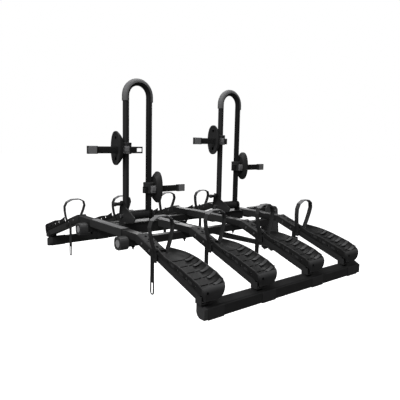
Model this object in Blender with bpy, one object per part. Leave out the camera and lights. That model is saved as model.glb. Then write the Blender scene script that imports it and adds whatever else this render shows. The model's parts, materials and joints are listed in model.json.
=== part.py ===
"""Hitch mounted rack for four bikes: two folding hoops over four gull-wing wheel trays.

Metres, +Z up. The origin is the centre of the hitch pin on the stinger's axis. +Y points into the
vehicle's receiver, the trays lie along X, and the platform reaches out towards -Y.
"""

import math

import bmesh
import bpy
from mathutils import Matrix, Vector

GAP = 0.0005

# Trays, counted from the outer end of the rack.
FIRST_TRAY_Y = -1.40
FRONT_PITCH = 0.300
MIDDLE_PITCH = 0.340
REAR_PITCH = 0.296
TRAY_Y = (
    FIRST_TRAY_Y,
    FIRST_TRAY_Y + FRONT_PITCH,
    FIRST_TRAY_Y + FRONT_PITCH + MIDDLE_PITCH,
    FIRST_TRAY_Y + FRONT_PITCH + MIDDLE_PITCH + REAR_PITCH,
)
TRAY_WIDTH = 0.040
TRAY_TOP_Z = 0.266
TRAY_HEIGHT = 0.032
TRAY_KNEE_X = 0.292
TRAY_END_X = 0.719
ARM_SLOPE = 0.3488
ARM_ANGLE = math.atan(ARM_SLOPE)
ARM_TOP_AT_ZERO = TRAY_TOP_Z + ARM_SLOPE * TRAY_KNEE_X
TUBE_WALL = 0.0025
SLEEVE_HALF_X = 0.155
SLEEVE_WALL = 0.0025

# Rails that carry the trays, and their outer ends.
RAIL_X = 0.200
RAIL_SIZE = 0.037
RAIL_TOP_Z = TRAY_TOP_Z - TRAY_HEIGHT - 0.001
RAIL_START_Y = -1.447
RAIL_END_Y = -0.437
BUMPER_SIZE = 0.060
BUMPER_START_Y = -1.467
BUMPER_END_Y = -1.4245
BUMPER_ROUND = 0.022
REFLECTOR_RADIUS = 0.0175
REFLECTOR_DEPTH = 0.0025
REFLECTOR_RECESS = 0.0030

# Beam between the trays of a pair, and from the last tray to the hitch.
SPINE_SIZE = 0.050
SPINE_TOP_Z = 0.262

# End bars across the tray ends.
BAR_X = 0.745
BAR_BOTTOM_Z = 0.020
BAR_START_Y = FIRST_TRAY_Y
BAR_END_Y = -0.365
BAR_HOLLOW = 0.88
CAP_OUTER_DEPTH = 0.017
CAP_INNER_DEPTH = 0.012
YOKE_SPAN = 0.083
YOKE_SCALE = 1.09
SADDLE_LENGTH = 0.035
CHEEK_WALL = 0.005
CHEEK_TOP_Z = 0.108

# Hoops: pivot axis along Y, a pull pin beside the left leg.
TUBE_RADIUS = 0.0159
HOOP_SPAN = 0.135
HOOP_SHIFT_Y = (0.014, 0.008)
HOOP_TOP_Z = 0.979
COVER_GAP = 0.0009
COVER_WALL = 0.0032
COVER_START_Z = 0.867
PIVOT_Z = 0.300
PIVOT_RADIUS = 0.006
LEG_BOTTOM_Z = 0.283
PLATE_WALL = 0.005
PLATE_CLEAR = 0.0015
PIN_Z = 0.361
PIN_RADIUS = 0.004
BARREL_RADIUS = 0.0225
LUG_RADIUS = 0.020
BOSS_LENGTH = 0.011
BOSS_RADIUS = 0.0105

# Frame holders on the hoop legs: heights of the clamps and the reach of the straps.
HOLDER_Z = (0.636, 0.434, 0.687, 0.533)
CRADLE_HALF_X = 0.044
CRADLE_HALF_Z = 0.083
CRADLE_FACE = 0.064
CRADLE_LEVELS = ((0.030, 0.70), (0.050, 0.92), (0.058, 1.0), (CRADLE_FACE, 0.95))
CRADLE_HOLE_Z = 0.050
CLAMP_RADIUS = 0.0275
CLAMP_HEIGHT = 0.056
STRAP_REACH = 0.216
STRAP_END_BLOCK = 0.168
STRAP_TAIL = (0.083, 0.048, 0.034, 0.048)
STRAP_LONG_TAIL = 0.060
STRAP_HALF_Z = 0.0165
STRAP_DROP = 0.008
STRAP_X = (0.0185, 0.0225)

# Wheel holders and wheel straps.
# A holder is a trough beside its arm: each station gives X, both rims' Y and Z, and the floor's Y.
HOLDER_LIFT = 0.001
HOLDER_FLOOR = 0.007
HOLDER_WALL = 0.0035
HOLDER_STATIONS = (
    (0.460, -0.0290, 0.2360, 0.0320, 0.2360, -0.0240, 0.0260),
    (0.480, -0.0295, 0.2262, 0.0600, 0.2275, -0.0240, 0.0360),
    (0.512, -0.0300, 0.2125, 0.0840, 0.2180, -0.0240, 0.0480),
    (0.556, -0.0300, 0.2035, 0.0950, 0.2070, -0.0240, 0.0560),
    (0.600, -0.0300, 0.1940, 0.0980, 0.1950, -0.0240, 0.0600),
    (0.680, -0.0300, 0.1695, 0.0980, 0.1735, -0.0240, 0.0600),
    (0.722, -0.0300, 0.1560, 0.0930, 0.1580, -0.0240, 0.0560),
)
HOLDER_NOSE = (
    (0.7370, -0.0290, 0.1470, 0.0880, 0.1490, -0.0230, 0.0540, 0.1120),
    (0.7440, -0.0270, 0.1420, 0.0840, 0.1430, -0.0210, 0.0500, 0.0920),
    (0.7540, -0.0230, 0.1290, 0.0760, 0.1280, -0.0180, 0.0450, 0.0960),
)
LOOP_FOOT_Z = 0.190
LOOP_TOP_Z = 0.369
# A strap's shape: its loop's X, top Z and lean towards +Y, and its tail's X.
STRAP_NEAR = (0.4425, 0.369, 0.0, 0.4225)
STRAP_NEAR_LAST = (0.4425, 0.368, 0.030, 0.4225)
STRAP_FAR = (0.4120, 0.341, 0.018, 0.3740)
STRAP_WIDTH = 0.025
STRAP_WALL = 0.0032
TAIL_END_Z = 0.033
TAIL_RING_WIDTH = 0.027
TAIL_SLOT_WIDTH = 0.014
BASE_START_X = 0.300
BASE_END_X = 0.436
BASE_WALL = 0.009
BASE_DEPTH = 0.030

# Hitch.
STINGER_SIZE = 0.0508
STINGER_WALL = 0.0065
STINGER_START_Y = -0.165
STINGER_END_Y = 0.075
HITCH_PIN_RADIUS = 0.0079
TILT_Y = -0.195
TILT_Z = 0.0
TILT_RADIUS = 0.0095
BRACKET_X = 0.0262
BRACKET_WALL = 0.006
BEAM_END_Y = -0.222
BRACE_RADIUS = 0.0145
BRACE_START_Y = -0.830
BRACE_END_Y = -0.229
BRACE_END_Z = 0.010
LEVER_Y = -0.259
LEVER_Z = 0.2690
BRACKET_TOP_Z = 0.2665

BLACK = (0.018, 0.018, 0.019)
PLASTIC = (0.024, 0.024, 0.025)
GREY = (0.23, 0.23, 0.235)
PALE = (0.45, 0.45, 0.46)
STEEL = (0.55, 0.55, 0.56)


def clear_scene():
    for obj in list(bpy.data.objects):
        bpy.data.objects.remove(obj)


def new_collection(name):
    made = bpy.data.collections.new(name)
    bpy.context.scene.collection.children.link(made)
    return made


clear_scene()
RACK = new_collection("hitch_bike_rack")
CUTTERS = new_collection("cutters")


def material(name, colour, roughness, metallic):
    made = bpy.data.materials.new(name)
    made.use_nodes = True
    shader = made.node_tree.nodes["Principled BSDF"]
    shader.inputs["Base Color"].default_value = (*colour, 1.0)
    shader.inputs["Roughness"].default_value = roughness
    shader.inputs["Metallic"].default_value = metallic
    return made


PAINT = material("black_painted_steel", BLACK, 0.42, 0.0)
MOULDED = material("black_moulded_plastic", PLASTIC, 0.55, 0.0)
RUBBER = material("black_rubber", BLACK, 0.75, 0.0)
COVER = material("grey_plastic_cover", GREY, 0.5, 0.0)
LENS = material("pale_reflector", PALE, 0.2, 0.0)
ZINC = material("zinc_fasteners", STEEL, 0.35, 1.0)


def object_from(name, mesh, paint):
    """A mesh as a named object of the rack, in its own copy of the material."""
    made = bpy.data.objects.new(name, mesh)
    own = paint.copy()
    own.name = name + "_material"
    mesh.materials.clear()
    mesh.materials.append(own)
    RACK.objects.link(made)
    return made


def mesh_from(name, bm):
    mesh = bpy.data.meshes.new(name)
    bmesh.ops.recalc_face_normals(bm, faces=bm.faces)
    bm.to_mesh(mesh)
    bm.free()
    return mesh


def box_mesh(low, high, bevel=0.0):
    """A box between two corners, with rounded edges where bevel is given."""
    bm = bmesh.new()
    bmesh.ops.create_cube(bm, size=1.0)
    size = Vector(high) - Vector(low)
    bmesh.ops.scale(bm, vec=size, verts=bm.verts)
    bmesh.ops.translate(bm, vec=Vector(low) + size / 2, verts=bm.verts)
    if bevel:
        bmesh.ops.bevel(bm, geom=bm.edges, offset=bevel, segments=2, profile=0.5, affect="EDGES")
    return mesh_from("box", bm)


def cylinder_mesh(start, end, radius, sides=20):
    """A cylinder between two points."""
    bm = bmesh.new()
    start, end = Vector(start), Vector(end)
    reach = end - start
    turn = reach.to_track_quat("Z", "Y").to_matrix().to_4x4()
    bmesh.ops.create_cone(
        bm,
        cap_ends=True,
        segments=sides,
        radius1=radius,
        radius2=radius,
        depth=reach.length,
        matrix=Matrix.Translation((start + end) / 2) @ turn,
    )
    return mesh_from("cylinder", bm)


def evaluated_mesh(obj):
    """The object's evaluated shape as a welded mesh in world space; the object is removed."""
    graph = bpy.context.evaluated_depsgraph_get()
    mesh = bpy.data.meshes.new_from_object(obj.evaluated_get(graph))
    mesh.transform(obj.matrix_world)
    bm = bmesh.new()
    bm.from_mesh(mesh)
    bmesh.ops.remove_doubles(bm, verts=bm.verts, dist=1e-6)
    bmesh.ops.recalc_face_normals(bm, faces=bm.faces)
    bm.to_mesh(mesh)
    bm.free()
    bpy.data.objects.remove(obj)
    return mesh


def curve_object(curve, frame=None):
    made = bpy.data.objects.new(curve.name, curve)
    if frame is not None:
        made.matrix_world = frame
    RACK.objects.link(made)
    bpy.context.view_layer.update()
    return made


def plate_mesh(outline, thickness, frame):
    """A flat outline of the given thickness; frame carries the outline's plane into the world."""
    curve = bpy.data.curves.new("plate", "CURVE")
    curve.dimensions = "2D"
    curve.fill_mode = "BOTH"
    curve.extrude = thickness / 2
    spline = curve.splines.new("POLY")
    spline.points.add(len(outline) - 1)
    for point, (u, v) in zip(spline.points, outline):
        point.co = (u, v, 0.0, 1.0)
    spline.use_cyclic_u = True
    return evaluated_mesh(curve_object(curve, frame))


def tube_mesh(points, radius):
    """A round bar along the points, with filled ends."""
    curve = bpy.data.curves.new("tube", "CURVE")
    curve.dimensions = "3D"
    curve.bevel_depth = radius
    curve.bevel_resolution = 4
    curve.use_fill_caps = True
    spline = curve.splines.new("POLY")
    spline.points.add(len(points) - 1)
    for point, place in zip(spline.points, points):
        point.co = (*place, 1.0)
    return evaluated_mesh(curve_object(curve))


def combine(base, other, operation):
    """The Boolean of two meshes, by the exact solver."""
    body = bpy.data.objects.new("body", base)
    tool = bpy.data.objects.new("tool", other)
    for made in (body, tool):
        CUTTERS.objects.link(made)
        made.hide_render = True
        made.display_type = "WIRE"
    step = body.modifiers.new("combine", "BOOLEAN")
    step.operation = operation
    step.solver = "EXACT"
    step.object = tool
    bpy.context.view_layer.update()
    mesh = evaluated_mesh(body)
    bpy.data.objects.remove(tool)
    return mesh


def union(first, *others):
    for other in others:
        first = combine(first, other, "UNION")
    return first


def cut(first, *others):
    for other in others:
        first = combine(first, other, "DIFFERENCE")
    return first


def moved(mesh, offset=(0, 0, 0), mirror_x=False):
    """A copy of the mesh, shifted, and mirrored in the plane X = 0 where asked."""
    copy = mesh.copy()
    copy.transform(Matrix.Translation(Vector(offset)))
    if mirror_x:
        copy.transform(Matrix.Scale(-1.0, 4, (1, 0, 0)))
        copy.flip_normals()
    return copy


def smooth(mesh, angle=0.6):
    mesh.shade_smooth()
    mesh.set_sharp_from_angle(angle=angle)
    return mesh


def frame_xz(y):
    """Outline (u, v) on (X, Z), at the given Y."""
    return Matrix(((1, 0, 0, 0), (0, 0, -1, y), (0, 1, 0, 0), (0, 0, 0, 1)))


def frame_yz(x):
    """Outline (u, v) on (Y, Z), at the given X."""
    return Matrix(((0, 0, 1, x), (1, 0, 0, 0), (0, 1, 0, 0), (0, 0, 0, 1)))


def arm_top(x):
    """Height of an arm's upper face at a distance x from the middle."""
    return min(TRAY_TOP_Z, ARM_TOP_AT_ZERO - ARM_SLOPE * x)


def loft_mesh(rings):
    """A closed solid through rings of equally many points."""
    bm = bmesh.new()
    loops = [[bm.verts.new(point) for point in ring] for ring in rings]
    count = len(loops[0])
    for near, far in zip(loops, loops[1:]):
        for i in range(count):
            j = (i + 1) % count
            bm.faces.new((near[i], near[j], far[j], far[i]))
    bm.faces.new(loops[0])
    bm.faces.new(loops[-1])
    return mesh_from("loft", bm)


def square_tube(low, high, wall, axis, bevel=0.003):
    """A square tube, open at both ends, along the axis with that number."""
    inner_low = [value + wall for value in low]
    inner_high = [value - wall for value in high]
    inner_low[axis] = low[axis] - wall
    inner_high[axis] = high[axis] + wall
    return cut(box_mesh(low, high, bevel), box_mesh(inner_low, inner_high))


def tray_outline(inset, end_x):
    """Side outline of a gull-wing tray tube, drawn in by inset all round and run out to end_x."""
    slope_depth = (TRAY_HEIGHT - inset) / math.cos(ARM_ANGLE)
    top = TRAY_TOP_Z - inset
    low = TRAY_TOP_Z - TRAY_HEIGHT + inset
    top_line = ARM_TOP_AT_ZERO - inset / math.cos(ARM_ANGLE)
    low_line = ARM_TOP_AT_ZERO - slope_depth
    top_knee = (top_line - top) / ARM_SLOPE
    low_knee = (low_line - low) / ARM_SLOPE
    right = [
        (low_knee, low),
        (end_x, low_line - ARM_SLOPE * end_x),
        (end_x, top_line - ARM_SLOPE * end_x),
        (top_knee, top),
    ]
    left = [(-x, z) for x, z in reversed(right)]
    return right + left


def tray_tube(y):
    """A gull-wing tray tube with the wider sleeve welded round its middle."""
    frame = frame_xz(y)
    half = TRAY_WIDTH / 2 + SLEEVE_WALL
    tube = plate_mesh(tray_outline(0.0, TRAY_END_X), TRAY_WIDTH, frame)
    sleeve = box_mesh(
        (-SLEEVE_HALF_X, y - half, TRAY_TOP_Z - TRAY_HEIGHT - SLEEVE_WALL),
        (SLEEVE_HALF_X, y + half, TRAY_TOP_Z + SLEEVE_WALL),
    )
    bore = plate_mesh(
        tray_outline(TUBE_WALL, TRAY_END_X + 0.02), TRAY_WIDTH - 2 * TUBE_WALL, frame
    )
    return cut(union(tube, sleeve), bore)


def bar_section(scale=1.0):
    """Outline of the end bar's extrusion at the near side, rounded at its lower inner corner."""
    inner_x = BAR_X - 0.048
    corner = 0.026
    steps = 4
    arc = []
    for i in range(steps + 1):
        turn = math.pi + i / steps * math.pi / 2
        arc.append(
            (inner_x + corner + corner * math.cos(turn), BAR_BOTTOM_Z + corner + corner * math.sin(turn))
        )
    rest = [
        (BAR_X, BAR_BOTTOM_Z),
        (BAR_X, BAR_BOTTOM_Z + 0.041),
        (BAR_X - 0.003, BAR_BOTTOM_Z + 0.044),
        (BAR_X - 0.006, BAR_BOTTOM_Z + 0.0415),
        (BAR_X - 0.009, BAR_BOTTOM_Z + 0.046),
        (BAR_X - 0.034, BAR_BOTTOM_Z + 0.058),
        (BAR_X - 0.046, BAR_BOTTOM_Z + 0.0565),
        (inner_x, BAR_BOTTOM_Z + 0.052),
    ]
    centre = (BAR_X - 0.023, BAR_BOTTOM_Z + 0.027)
    return [
        (centre[0] + (x - centre[0]) * scale, centre[1] + (z - centre[1]) * scale)
        for x, z in arc + rest
    ]


def bar_piece(start, end, scale=1.0):
    return plate_mesh(bar_section(scale), end - start, frame_xz((start + end) / 2))


def end_bar(mirror_x):
    """An end bar with, at each tray, a sleeve round it and a saddle for the arm's end."""
    bar = bar_piece(BAR_START_Y, BAR_END_Y)
    bore = bar_piece(BAR_START_Y - 0.01, BAR_END_Y + 0.01, BAR_HOLLOW)
    for y in TRAY_Y:
        start = max(y, BAR_START_Y + 0.002)
        bar = union(bar, bar_piece(start, y + YOKE_SPAN, YOKE_SCALE), saddle(y))
    return moved(cut(bar, bore), mirror_x=mirror_x)


def holder_ring(station, floor_z, inset=0.0, lift=0.0):
    """One cross-section of a wheel holder: a flat floor and two walls that lean outwards."""
    x, left, left_z, right, right_z, floor_left, floor_right = station[:7]
    left, floor_left = left + inset, floor_left + inset
    right, floor_right = right - inset, floor_right - inset
    return [
        (x, floor_left, floor_z),
        (x, floor_right, floor_z),
        (x, floor_right * 0.3 + right * 0.7, floor_z * 0.6 + right_z * 0.4),
        (x, right, right_z + lift),
        (x, left, left_z + lift),
        (x, floor_left * 0.3 + left * 0.7, floor_z * 0.6 + left_z * 0.4),
    ]


def wheel_holder():
    """A deep tapering trough for a wheel, beside the near arm of a tray at Y = 0."""
    outer = [holder_ring(each, arm_top(each[0]) + HOLDER_LIFT) for each in HOLDER_STATIONS]
    outer += [holder_ring(each, each[7]) for each in HOLDER_NOSE]
    floor_z = HOLDER_LIFT + HOLDER_FLOOR
    inner = [
        holder_ring(each, arm_top(each[0]) + floor_z, HOLDER_WALL, 0.012)
        for each in HOLDER_STATIONS
    ]
    first, last = HOLDER_STATIONS[0], HOLDER_NOSE[0]
    before = (first[0] - 0.02,) + first[1:]
    mouth = holder_ring(before, arm_top(before[0]) + floor_z, HOLDER_WALL, 0.020)
    close = holder_ring(last, last[7] + 0.014, HOLDER_WALL, 0.012)
    return cut(loft_mesh(outer), loft_mesh([mouth] + inner + [close]))


def strap_base():
    """The strap's anchor block over the near arm of a tray at Y = 0: a U in section."""
    half_in = TRAY_WIDTH / 2 + GAP
    half_out = half_in + BASE_WALL
    outline = [
        (-half_out, -BASE_DEPTH),
        (-half_in, -BASE_DEPTH),
        (-half_in, GAP),
        (half_in, GAP),
        (half_in, -BASE_DEPTH),
        (half_out, -BASE_DEPTH),
        (half_out, BASE_WALL * 0.6),
        (half_out - 0.006, BASE_WALL),
        (-half_out + 0.006, BASE_WALL),
        (-half_out, BASE_WALL * 0.6),
    ]
    length = (BASE_END_X - BASE_START_X) / math.cos(ARM_ANGLE)
    down = Vector((math.cos(ARM_ANGLE), 0, -math.sin(ARM_ANGLE)))
    up = Vector((math.sin(ARM_ANGLE), 0, math.cos(ARM_ANGLE)))
    across = Vector((0, 1, 0))
    frame = Matrix.Identity(4)
    frame.col[0].xyz = across
    frame.col[1].xyz = up
    frame.col[2].xyz = across.cross(up)
    frame.translation = Vector((BASE_START_X, 0, arm_top(BASE_START_X))) + down * length / 2
    return plate_mesh(outline, length, frame)


def hoop_legs(first_tray):
    """Y of a hoop's left and right leg, between the given tray and the next."""
    shift = HOOP_SHIFT_Y[first_tray // 2]
    middle = (TRAY_Y[first_tray] + TRAY_Y[first_tray + 1]) / 2 + shift
    return middle - HOOP_SPAN / 2, middle + HOOP_SPAN / 2


def hoop_route(left, right, start_z, steps=16):
    """Points up the left leg, round the bend and down the right leg, from the given height."""
    bend = (right - left) / 2
    middle = (left + right) / 2
    centre_z = HOOP_TOP_Z - COVER_WALL - COVER_GAP - TUBE_RADIUS - bend
    arc = [
        (
            0.0,
            middle - bend * math.cos(math.pi * i / steps),
            centre_z + bend * math.sin(math.pi * i / steps),
        )
        for i in range(steps + 1)
    ]
    return [(0.0, left, start_z)] + arc + [(0.0, right, start_z)]


def hoop(left, right):
    """A hoop's bent tube, with the pivot barrel welded between its legs."""
    tube = tube_mesh(hoop_route(left, right, LEG_BOTTOM_Z), TUBE_RADIUS)
    hollow = tube_mesh(hoop_route(left, right, LEG_BOTTOM_Z - 0.01), TUBE_RADIUS - TUBE_WALL)
    inset = TUBE_RADIUS * 0.4
    barrel = cylinder_mesh(
        (0, left + inset, PIVOT_Z), (0, right - inset, PIVOT_Z), BARREL_RADIUS, 24
    )
    bolt_way = cylinder_mesh(
        (0, left - 0.03, PIVOT_Z), (0, right + 0.03, PIVOT_Z), PIVOT_RADIUS + GAP, 16
    )
    return smooth(cut(union(tube, barrel), hollow, bolt_way))


def hoop_cover(left, right):
    """The half-shell over the outside of a hoop's bend."""
    route = [Vector(point) for point in hoop_route(left, right, COVER_START_Z)]
    middle = Vector((0.0, (left + right) / 2, route[1].z))
    inner = TUBE_RADIUS + COVER_GAP
    outer = inner + COVER_WALL
    steps = 8
    turns = [-math.pi / 2 + math.pi * i / steps for i in range(steps + 1)]
    section = [(outer, turn) for turn in turns] + [(inner, turn) for turn in reversed(turns)]
    side = Vector((1, 0, 0))
    rings = []
    for point in route:
        if point.z <= middle.z:
            out = Vector((0, math.copysign(1.0, point.y - middle.y), 0))
        else:
            out = (point - middle).normalized()
        rings.append(
            [point + out * r * math.cos(turn) + side * r * math.sin(turn) for r, turn in section]
        )
    return smooth(loft_mesh(rings))


def hoop_base(left, right):
    """The welded seat of a hoop: a foot on the spine and an upright plate outside each leg."""
    foot_top = SPINE_TOP_Z + 0.0045
    buried_z = SPINE_TOP_Z + 0.001
    clear = TUBE_RADIUS + PLATE_CLEAR
    plate_out = clear + PLATE_WALL
    foot = box_mesh(
        (-0.032, left - plate_out, SPINE_TOP_Z + GAP), (0.032, right + plate_out, foot_top)
    )
    gusset = [
        (-0.030, buried_z),
        (0.100, SPINE_TOP_Z + 0.014),
        (0.118, 0.290),
        (0.118, 0.304),
        (0.020, PIN_Z - 0.008),
        (0.013, PIN_Z + 0.014),
        (-0.017, PIN_Z + 0.014),
        (-0.030, PIVOT_Z),
    ]
    lug = [(-LUG_RADIUS, buried_z), (LUG_RADIUS, buried_z)]
    for i in range(9):
        turn = math.pi * i / 8
        lug.append((LUG_RADIUS * math.cos(turn), PIVOT_Z + LUG_RADIUS * math.sin(turn)))
    boss_start = (0, left - plate_out - BOSS_LENGTH, PIN_Z)
    welded = union(
        foot,
        plate_mesh(gusset, PLATE_WALL, frame_xz(left - clear - PLATE_WALL / 2)),
        plate_mesh(lug, PLATE_WALL, frame_xz(right + clear + PLATE_WALL / 2)),
        cylinder_mesh(boss_start, (0, left - plate_out + 0.002, PIN_Z), BOSS_RADIUS),
    )
    return cut(
        welded,
        cylinder_mesh((0, left - 0.05, PIVOT_Z), (0, right + 0.05, PIVOT_Z), PIVOT_RADIUS + GAP, 16),
        cylinder_mesh((0, left - 0.06, PIN_Z), (0, left - 0.01, PIN_Z), PIN_RADIUS + GAP, 12),
    )


def turned(profile, start, direction, sides=20):
    """A turned solid: (distance along, radius) pairs from start, joined as stacked cones."""
    start = Vector(start)
    direction = Vector(direction)
    turn = direction.to_track_quat("Z", "Y").to_matrix()
    rings = []
    for along, radius in profile:
        ring = []
        for i in range(sides):
            angle = 2 * math.pi * i / sides
            ring.append(
                start + turn @ Vector((radius * math.cos(angle), radius * math.sin(angle), along))
            )
        rings.append(ring)
    return smooth(loft_mesh(rings))


def pull_knob(left):
    """The sprung pull pin beside a hoop's left leg; its tip stops just short of the tube."""
    start = (0.0, left - TUBE_RADIUS - PLATE_CLEAR, PIN_Z)
    collar = PLATE_WALL + BOSS_LENGTH + GAP
    profile = [
        (0.0, PIN_RADIUS),
        (collar, PIN_RADIUS),
        (collar, 0.0085),
        (collar + 0.006, 0.0095),
        (collar + 0.012, 0.0080),
        (collar + 0.018, 0.0090),
        (collar + 0.028, 0.0110),
        (collar + 0.034, 0.0105),
        (collar + 0.037, 0.0070),
    ]
    return turned(profile, start, (0, -1, 0))


def pivot_bolt(left, right):
    """A bolt through the plates, the legs and the barrel, with a head and a nut outside."""
    outside = TUBE_RADIUS + PLATE_CLEAR + PLATE_WALL + GAP
    head = 0.008
    profile = [
        (0.0, 0.0100),
        (head, 0.0100),
        (head, PIVOT_RADIUS),
        (head + right - left + 2 * outside, PIVOT_RADIUS),
        (head + right - left + 2 * outside, 0.0100),
        (2 * head + right - left + 2 * outside, 0.0100),
    ]
    return turned(profile, (0, left - outside - head, PIVOT_Z), (0, 1, 0), 12)


def cradle_ring(y, z, scale):
    """A long oval with pointed ends round (0, y, z), for a frame holder's cradle."""
    ring = []
    steps = 20
    for i in range(steps):
        turn = 2 * math.pi * i / steps
        wide = math.copysign(abs(math.sin(turn)) ** 0.8, math.sin(turn))
        ring.append((CRADLE_HALF_X * scale * wide, y, z + CRADLE_HALF_Z * scale * math.cos(turn)))
    return ring


def frame_cradle(leg, z, way):
    """A clamp round a hoop leg with its dished cradle; way is -1 or 1, the side along Y."""
    cradle = loft_mesh([cradle_ring(leg + way * out, z, scale) for out, scale in CRADLE_LEVELS])
    clamp = cylinder_mesh(
        (0, leg, z - CLAMP_HEIGHT / 2), (0, leg, z + CLAMP_HEIGHT / 2), CLAMP_RADIUS, 24
    )
    ends = sorted((leg + way * 0.012, leg + way * 0.040))
    neck = box_mesh((-0.014, ends[0], z - 0.017), (0.014, ends[1], z + 0.017))
    bore = cylinder_mesh((0, leg, z - 0.1), (0, leg, z + 0.1), TUBE_RADIUS + GAP, 24)
    slot = box_mesh(
        (STRAP_X[0] - GAP, leg - 0.1, z - STRAP_DROP - STRAP_HALF_Z - GAP),
        (STRAP_X[1] + GAP, leg + 0.1, z - STRAP_DROP + STRAP_HALF_Z + GAP),
    )
    hole_ends = (leg + way * 0.020, leg + way * 0.080)
    holes = [
        cylinder_mesh((0, hole_ends[0], z + rise), (0, hole_ends[1], z + rise), 0.007, 14)
        for rise in (-CRADLE_HOLE_Z, CRADLE_HOLE_Z)
    ]
    return cut(union(cradle, clamp, neck), bore, slot, *holes)


def frame_strap(leg, clamp_z, way, tail):
    """The strap of a frame holder: a block at its outer end and a slotted tail behind the leg."""
    z = clamp_z - STRAP_DROP
    ends = sorted((leg + way * STRAP_REACH, leg - way * tail))
    band = box_mesh((STRAP_X[0], ends[0], z - STRAP_HALF_Z), (STRAP_X[1], ends[1], z + STRAP_HALF_Z))
    block_ends = sorted((leg + way * STRAP_END_BLOCK, leg + way * STRAP_REACH))
    block = box_mesh(
        (STRAP_X[0] - 0.005, block_ends[0], z - STRAP_HALF_Z - 0.002),
        (STRAP_X[1] + 0.007, block_ends[1], z + STRAP_HALF_Z + 0.002),
    )
    slot_start = 0.050 if tail > STRAP_LONG_TAIL else CLAMP_RADIUS + 0.003
    slot_end = tail - 0.004
    if slot_end < slot_start:
        return union(band, block)
    slot_ends = sorted((leg - way * slot_start, leg - way * slot_end))
    slot = box_mesh((0.0, slot_ends[0], z - 0.009), (0.1, slot_ends[1], z + 0.009))
    return cut(union(band, block), slot)


def bumper(x):
    """The rounded cap over a rail's outer end, closed at the outside."""
    centre_z = RAIL_TOP_Z - RAIL_SIZE / 2
    flat = BUMPER_SIZE / 2 - BUMPER_ROUND
    outline = []
    for quarter in range(4):
        turn = quarter * math.pi / 2
        middle = (x + flat * math.copysign(1, math.cos(turn + 0.5)), centre_z)
        rise = flat * math.copysign(1, math.sin(turn + 0.5))
        for i in range(5):
            angle = turn + i * math.pi / 8
            across = middle[0] + BUMPER_ROUND * math.cos(angle)
            up = middle[1] + rise + BUMPER_ROUND * math.sin(angle)
            outline.append((across, up))
    length = BUMPER_END_Y - BUMPER_START_Y
    body = plate_mesh(outline, length, frame_xz(BUMPER_START_Y + length / 2))
    pocket = RAIL_SIZE / 2 + GAP
    low = (x - pocket, RAIL_START_Y - GAP, centre_z - pocket)
    recess = cylinder_mesh(
        (x, BUMPER_START_Y - 0.01, centre_z),
        (x, BUMPER_START_Y + REFLECTOR_RECESS, centre_z),
        REFLECTOR_RADIUS + 0.002,
        28,
    )
    inside = box_mesh(low, (x + pocket, BUMPER_END_Y + 0.01, centre_z + pocket))
    return cut(body, inside, recess)


def reflector(x):
    z = RAIL_TOP_Z - RAIL_SIZE / 2
    face = BUMPER_START_Y + REFLECTOR_RECESS - GAP
    return cylinder_mesh((x, face, z), (x, face - REFLECTOR_DEPTH, z), REFLECTOR_RADIUS, 28)


def drop_bracket():
    """Two plates that hang from the hitch beam to the tilt pivot, under one rounded cap."""
    outline = [
        (-0.262, 0.200),
        (-0.285, 0.235),
        (-0.285, 0.258),
        (-0.270, 0.276),
        (-0.248, 0.276),
        (-0.236, BRACKET_TOP_Z),
        (-0.198, BRACKET_TOP_Z),
        (-0.182, 0.261),
        (-0.168, 0.244),
        (-0.146, 0.060),
        (-0.148, -0.005),
        (-0.163, -0.028),
        (-0.215, -0.034),
        (-0.243, -0.012),
    ]
    cap_outline = [
        (-0.238, SPINE_TOP_Z + GAP),
        (-0.214, SPINE_TOP_Z + GAP),
        (-0.188, 0.254),
        (-0.175, 0.238),
        (-0.168, 0.243),
        (-0.182, 0.261),
        (-0.198, BRACKET_TOP_Z),
        (-0.238, BRACKET_TOP_Z),
    ]
    centre = BRACKET_X + BRACKET_WALL / 2
    welded = union(
        plate_mesh(outline, BRACKET_WALL, frame_yz(centre)),
        plate_mesh(cap_outline, 2 * BRACKET_X + BRACKET_WALL, frame_yz(0)),
        plate_mesh(outline, BRACKET_WALL, frame_yz(-centre)),
    )
    return cut(welded, tilt_pivot_way(TILT_RADIUS + GAP))


def tilt_pivot_way(radius):
    return cylinder_mesh((-0.1, TILT_Y, TILT_Z), (0.1, TILT_Y, TILT_Z), radius, 16)


def brace(side):
    """A strut from under a rail to the foot of the drop bracket."""
    high_z = RAIL_TOP_Z - RAIL_SIZE - GAP - BRACE_RADIUS
    low_x = BRACKET_X + BRACKET_WALL + BRACE_RADIUS + 0.004
    high = Vector((side * RAIL_X, BRACE_START_Y, high_z))
    low = Vector((side * low_x, BRACE_END_Y, BRACE_END_Z))
    past = (low - high).normalized() * 0.01
    tube = tube_mesh([high, low], BRACE_RADIUS)
    return smooth(cut(tube, tube_mesh([high - past, low + past], BRACE_RADIUS - TUBE_WALL)))


def tilt_lever():
    """The flat release lever that lies along the hitch beam, on a pin between the bracket's ears."""
    arm = [
        (LEVER_Y, LEVER_Z - 0.004),
        (LEVER_Y - 0.155, LEVER_Z - 0.004),
        (LEVER_Y - 0.160, LEVER_Z - 0.001),
        (LEVER_Y - 0.155, LEVER_Z + 0.002),
        (LEVER_Y, LEVER_Z + 0.004),
    ]
    reach = BRACKET_X - GAP
    hub = cylinder_mesh((-reach, LEVER_Y, LEVER_Z), (reach, LEVER_Y, LEVER_Z), 0.0055, 16)
    return union(plate_mesh(arm, 0.030, frame_yz(0)), hub)


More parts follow.
